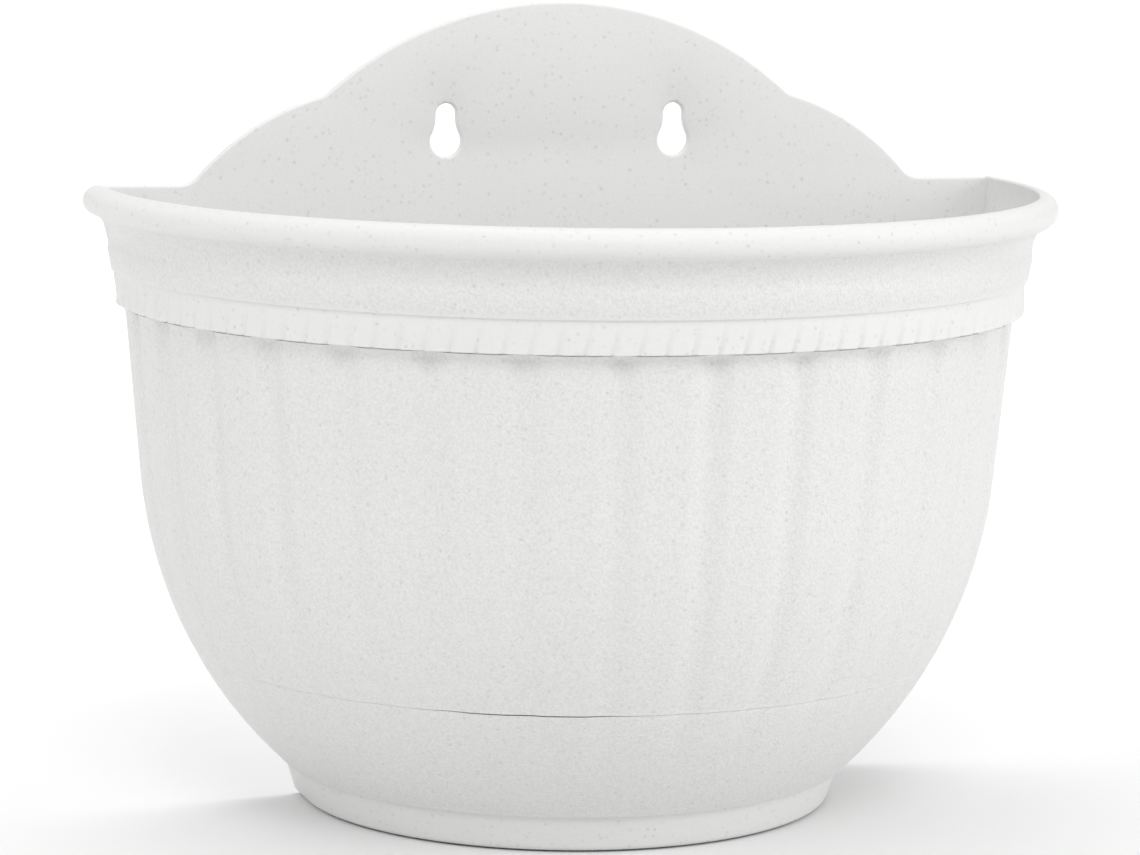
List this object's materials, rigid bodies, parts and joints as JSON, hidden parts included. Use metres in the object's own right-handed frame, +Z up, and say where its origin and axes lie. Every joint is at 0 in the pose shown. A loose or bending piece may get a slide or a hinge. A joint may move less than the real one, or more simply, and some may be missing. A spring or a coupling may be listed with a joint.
{
  "type": "wall planter",
  "caption": "Half-round wall planter with fluted sides, a rolled rim, an arched back plate with keyholes and a pull-off water tray with a flat foot.",
  "frame": {"origin": "on the wall plane, at the centre line and at the height of the foot's underside", "axes": "+Z up, +Y into the wall that the flat back rests against, +X along the rim to the viewer's right"},
  "size_m": [0.3, 0.1645, 0.2465],
  "materials": {
    "pot_plastic": "satin",
    "tray_plastic": "satin"
  },
  "bodies": {
    "pot": {"pot": "pot_plastic"},
    "tray": {"water_tray": "tray_plastic"}
  },
  "joints": [
    {"name": "tray_slide", "type": "slide", "parent": "pot", "child": "tray", "axis": [0, 0, -1], "range_m": [0, 0.04]}
  ]
}
